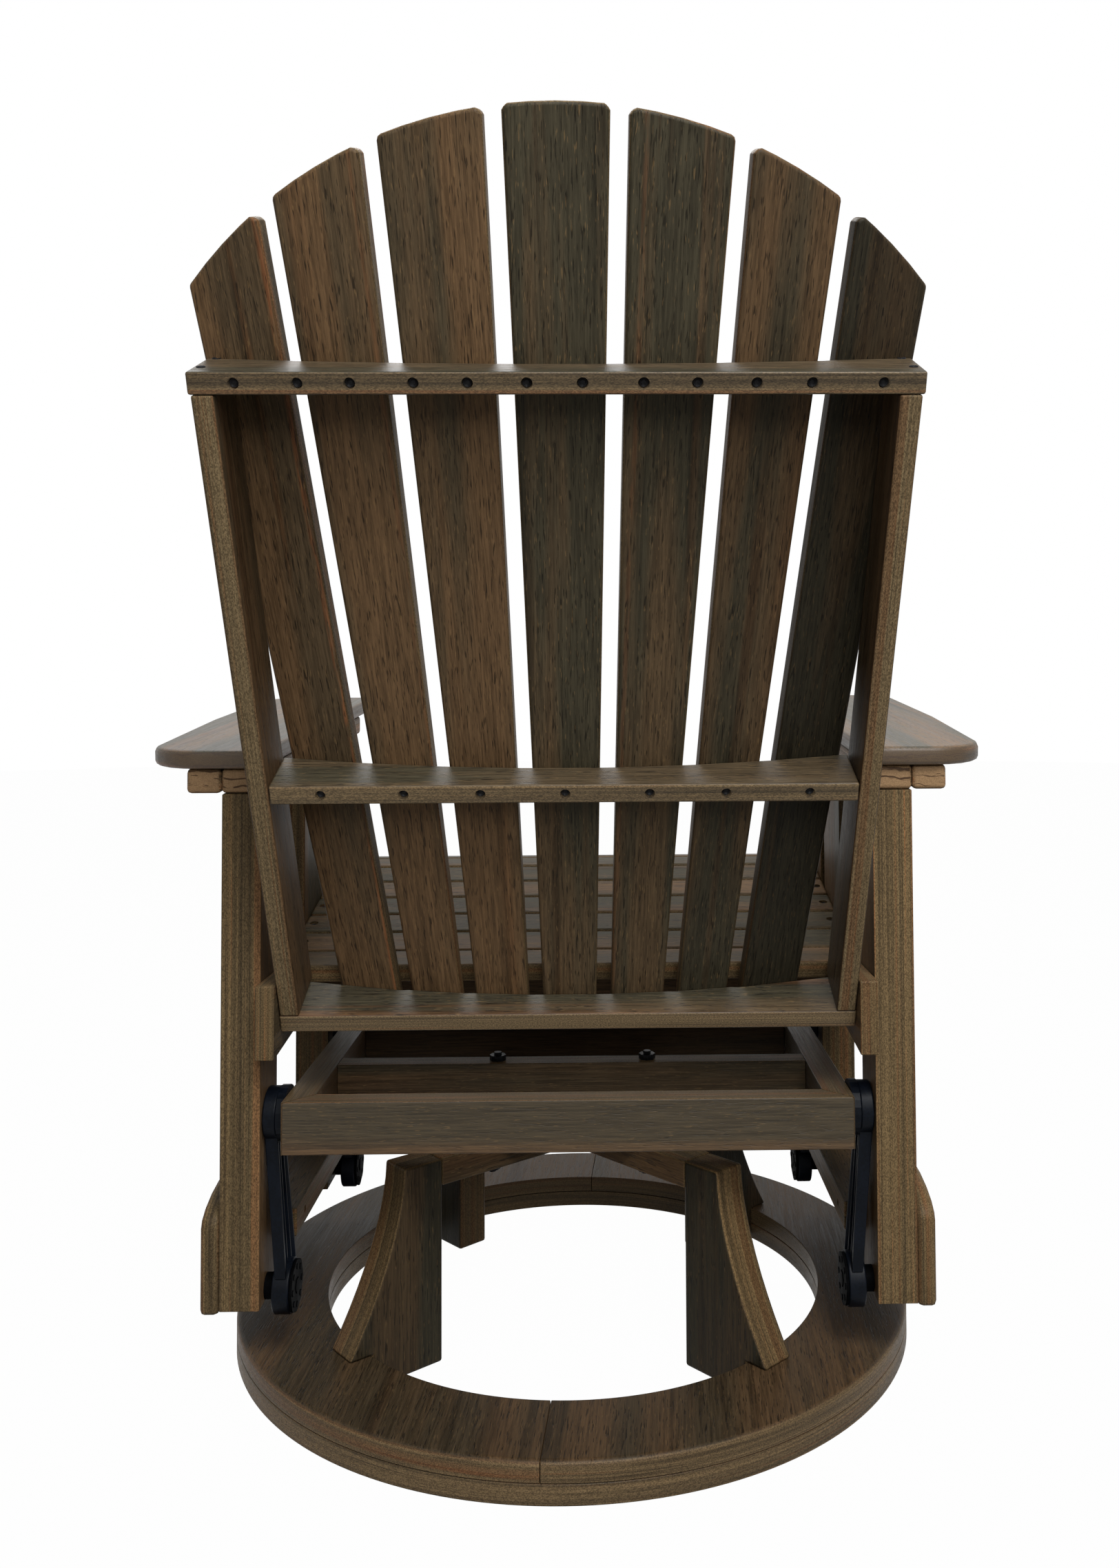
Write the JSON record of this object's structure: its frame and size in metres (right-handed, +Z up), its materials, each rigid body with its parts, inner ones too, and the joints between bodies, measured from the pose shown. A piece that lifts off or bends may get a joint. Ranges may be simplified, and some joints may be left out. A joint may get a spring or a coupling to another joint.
{
  "type": "swivel glider",
  "caption": "Fan-back garden armchair of poly-lumber boards; its seat swings on links from a box that turns on a ring base.",
  "frame": {"origin": "on the floor, at the middle of the bounding box's footprint", "axes": "+Z up, the chair's front towards -Y, the sitter's left towards +X"},
  "size_m": [0.8614, 0.8468, 1.1195],
  "materials": {
    "board_brown": "streaked brown poly-lumber, satin",
    "board_green_brown": "streaked green-brown poly-lumber, satin",
    "black_nylon": "moulded, semi-matt",
    "dark_steel": "black-coated",
    "bearing_bronze": "plain bearing bronze"
  },
  "bodies": {
    "base": {"base_leg_front_left": "board_brown", "base_leg_front_right": "board_brown", "base_leg_rear_left": "board_brown", "base_leg_rear_right": "board_brown", "cross_beam_lower": "board_brown", "cross_beam_upper": "board_brown", "ring_lower_layer": "board_brown", "ring_upper_left": "board_brown", "ring_upper_right": "board_brown", "swivel_ball_cage": "bearing_bronze", "swivel_lower_plate": "dark_steel"},
    "glider_box": {"box_front_cross_rail": "board_brown", "box_front_rail": "board_brown", "box_rear_cross_rail": "board_brown", "box_rear_rail": "board_brown", "box_side_rail_left": "board_brown", "box_side_rail_right": "board_brown", "swivel_upper_plate": "dark_steel", "upper_pivot_front_left": "black_nylon", "upper_pivot_front_right": "black_nylon", "upper_pivot_rear_left": "black_nylon", "upper_pivot_rear_right": "black_nylon"},
    "rear_left_link": {"swing_link_rear_left": "black_nylon"},
    "rear_right_link": {"swing_link_rear_right": "black_nylon"},
    "front_left_link": {"swing_link_front_left": "black_nylon"},
    "front_right_link": {"swing_link_front_right": "black_nylon"},
    "seat": {"arm_left": "board_green_brown", "arm_right": "board_green_brown", "back_bottom_rail": "board_brown", "back_middle_rail": "board_brown", "back_slat_centre": "board_green_brown", "back_slat_left_inner": "board_green_brown", "back_slat_left_middle": "board_green_brown", "back_slat_left_outer": "board_green_brown", "back_slat_right_inner": "board_green_brown", "back_slat_right_middle": "board_green_brown", "back_slat_right_outer": "board_green_brown", "back_upper_rail": "board_brown", "back_upright_left": "board_brown", "back_upright_right": "board_brown", "front_leg_left": "board_green_brown", "front_leg_right": "board_green_brown", "lower_pivot_front_left": "black_nylon", "lower_pivot_front_right": "black_nylon", "lower_pivot_rear_left": "black_nylon", "lower_pivot_rear_right": "black_nylon", "lower_side_rail_left": "board_brown", "lower_side_rail_right": "board_brown", "lower_stretcher_left": "board_brown", "lower_stretcher_right": "board_brown", "rear_leg_left": "board_green_brown", "rear_leg_right": "board_green_brown", "seat_front_slats": "board_green_brown", "seat_slats": "board_green_brown", "seat_stringer_left": "board_brown", "seat_stringer_right": "board_brown", "side_post_left": "board_green_brown", "side_post_right": "board_green_brown", "under_arm_rail_left": "board_brown", "under_arm_rail_right": "board_brown"}
  },
  "joints": [
    {"name": "swivel", "type": "hinge", "parent": "base", "child": "glider_box", "pos_m": [0, -0.06179, 0.2195], "axis": [0, 0, 1], "continuous": true},
    {"name": "glide", "type": "hinge", "parent": "glider_box", "child": "rear_left_link", "pos_m": [0.2783, 0.11521, 0.265], "axis": [1, 0, 0], "range_deg": [-12, 12]},
    {"name": "glide_front_left", "type": "hinge", "parent": "glider_box", "child": "front_left_link", "pos_m": [0.2783, -0.20179, 0.265], "axis": [1, 0, 0], "range_deg": [-12, 12]},
    {"name": "glide_rear_right", "type": "hinge", "parent": "glider_box", "child": "rear_right_link", "pos_m": [-0.2783, 0.11521, 0.265], "axis": [1, 0, 0], "range_deg": [-12, 12]},
    {"name": "glide_front_right", "type": "hinge", "parent": "glider_box", "child": "front_right_link", "pos_m": [-0.2783, -0.20179, 0.265], "axis": [1, 0, 0], "range_deg": [-12, 12]},
    {"name": "seat_hang", "type": "hinge", "parent": "rear_left_link", "child": "seat", "pos_m": [0.2653, 0.11521, 0.101], "axis": [1, 0, 0], "range_deg": [-12, 12]}
  ],
  "couplings": [
    {"joint": "glide_front_left", "follows": "glide", "ratio": 1},
    {"joint": "glide_rear_right", "follows": "glide", "ratio": 1},
    {"joint": "glide_front_right", "follows": "glide", "ratio": 1},
    {"joint": "seat_hang", "follows": "glide", "ratio": -1}
  ]
}
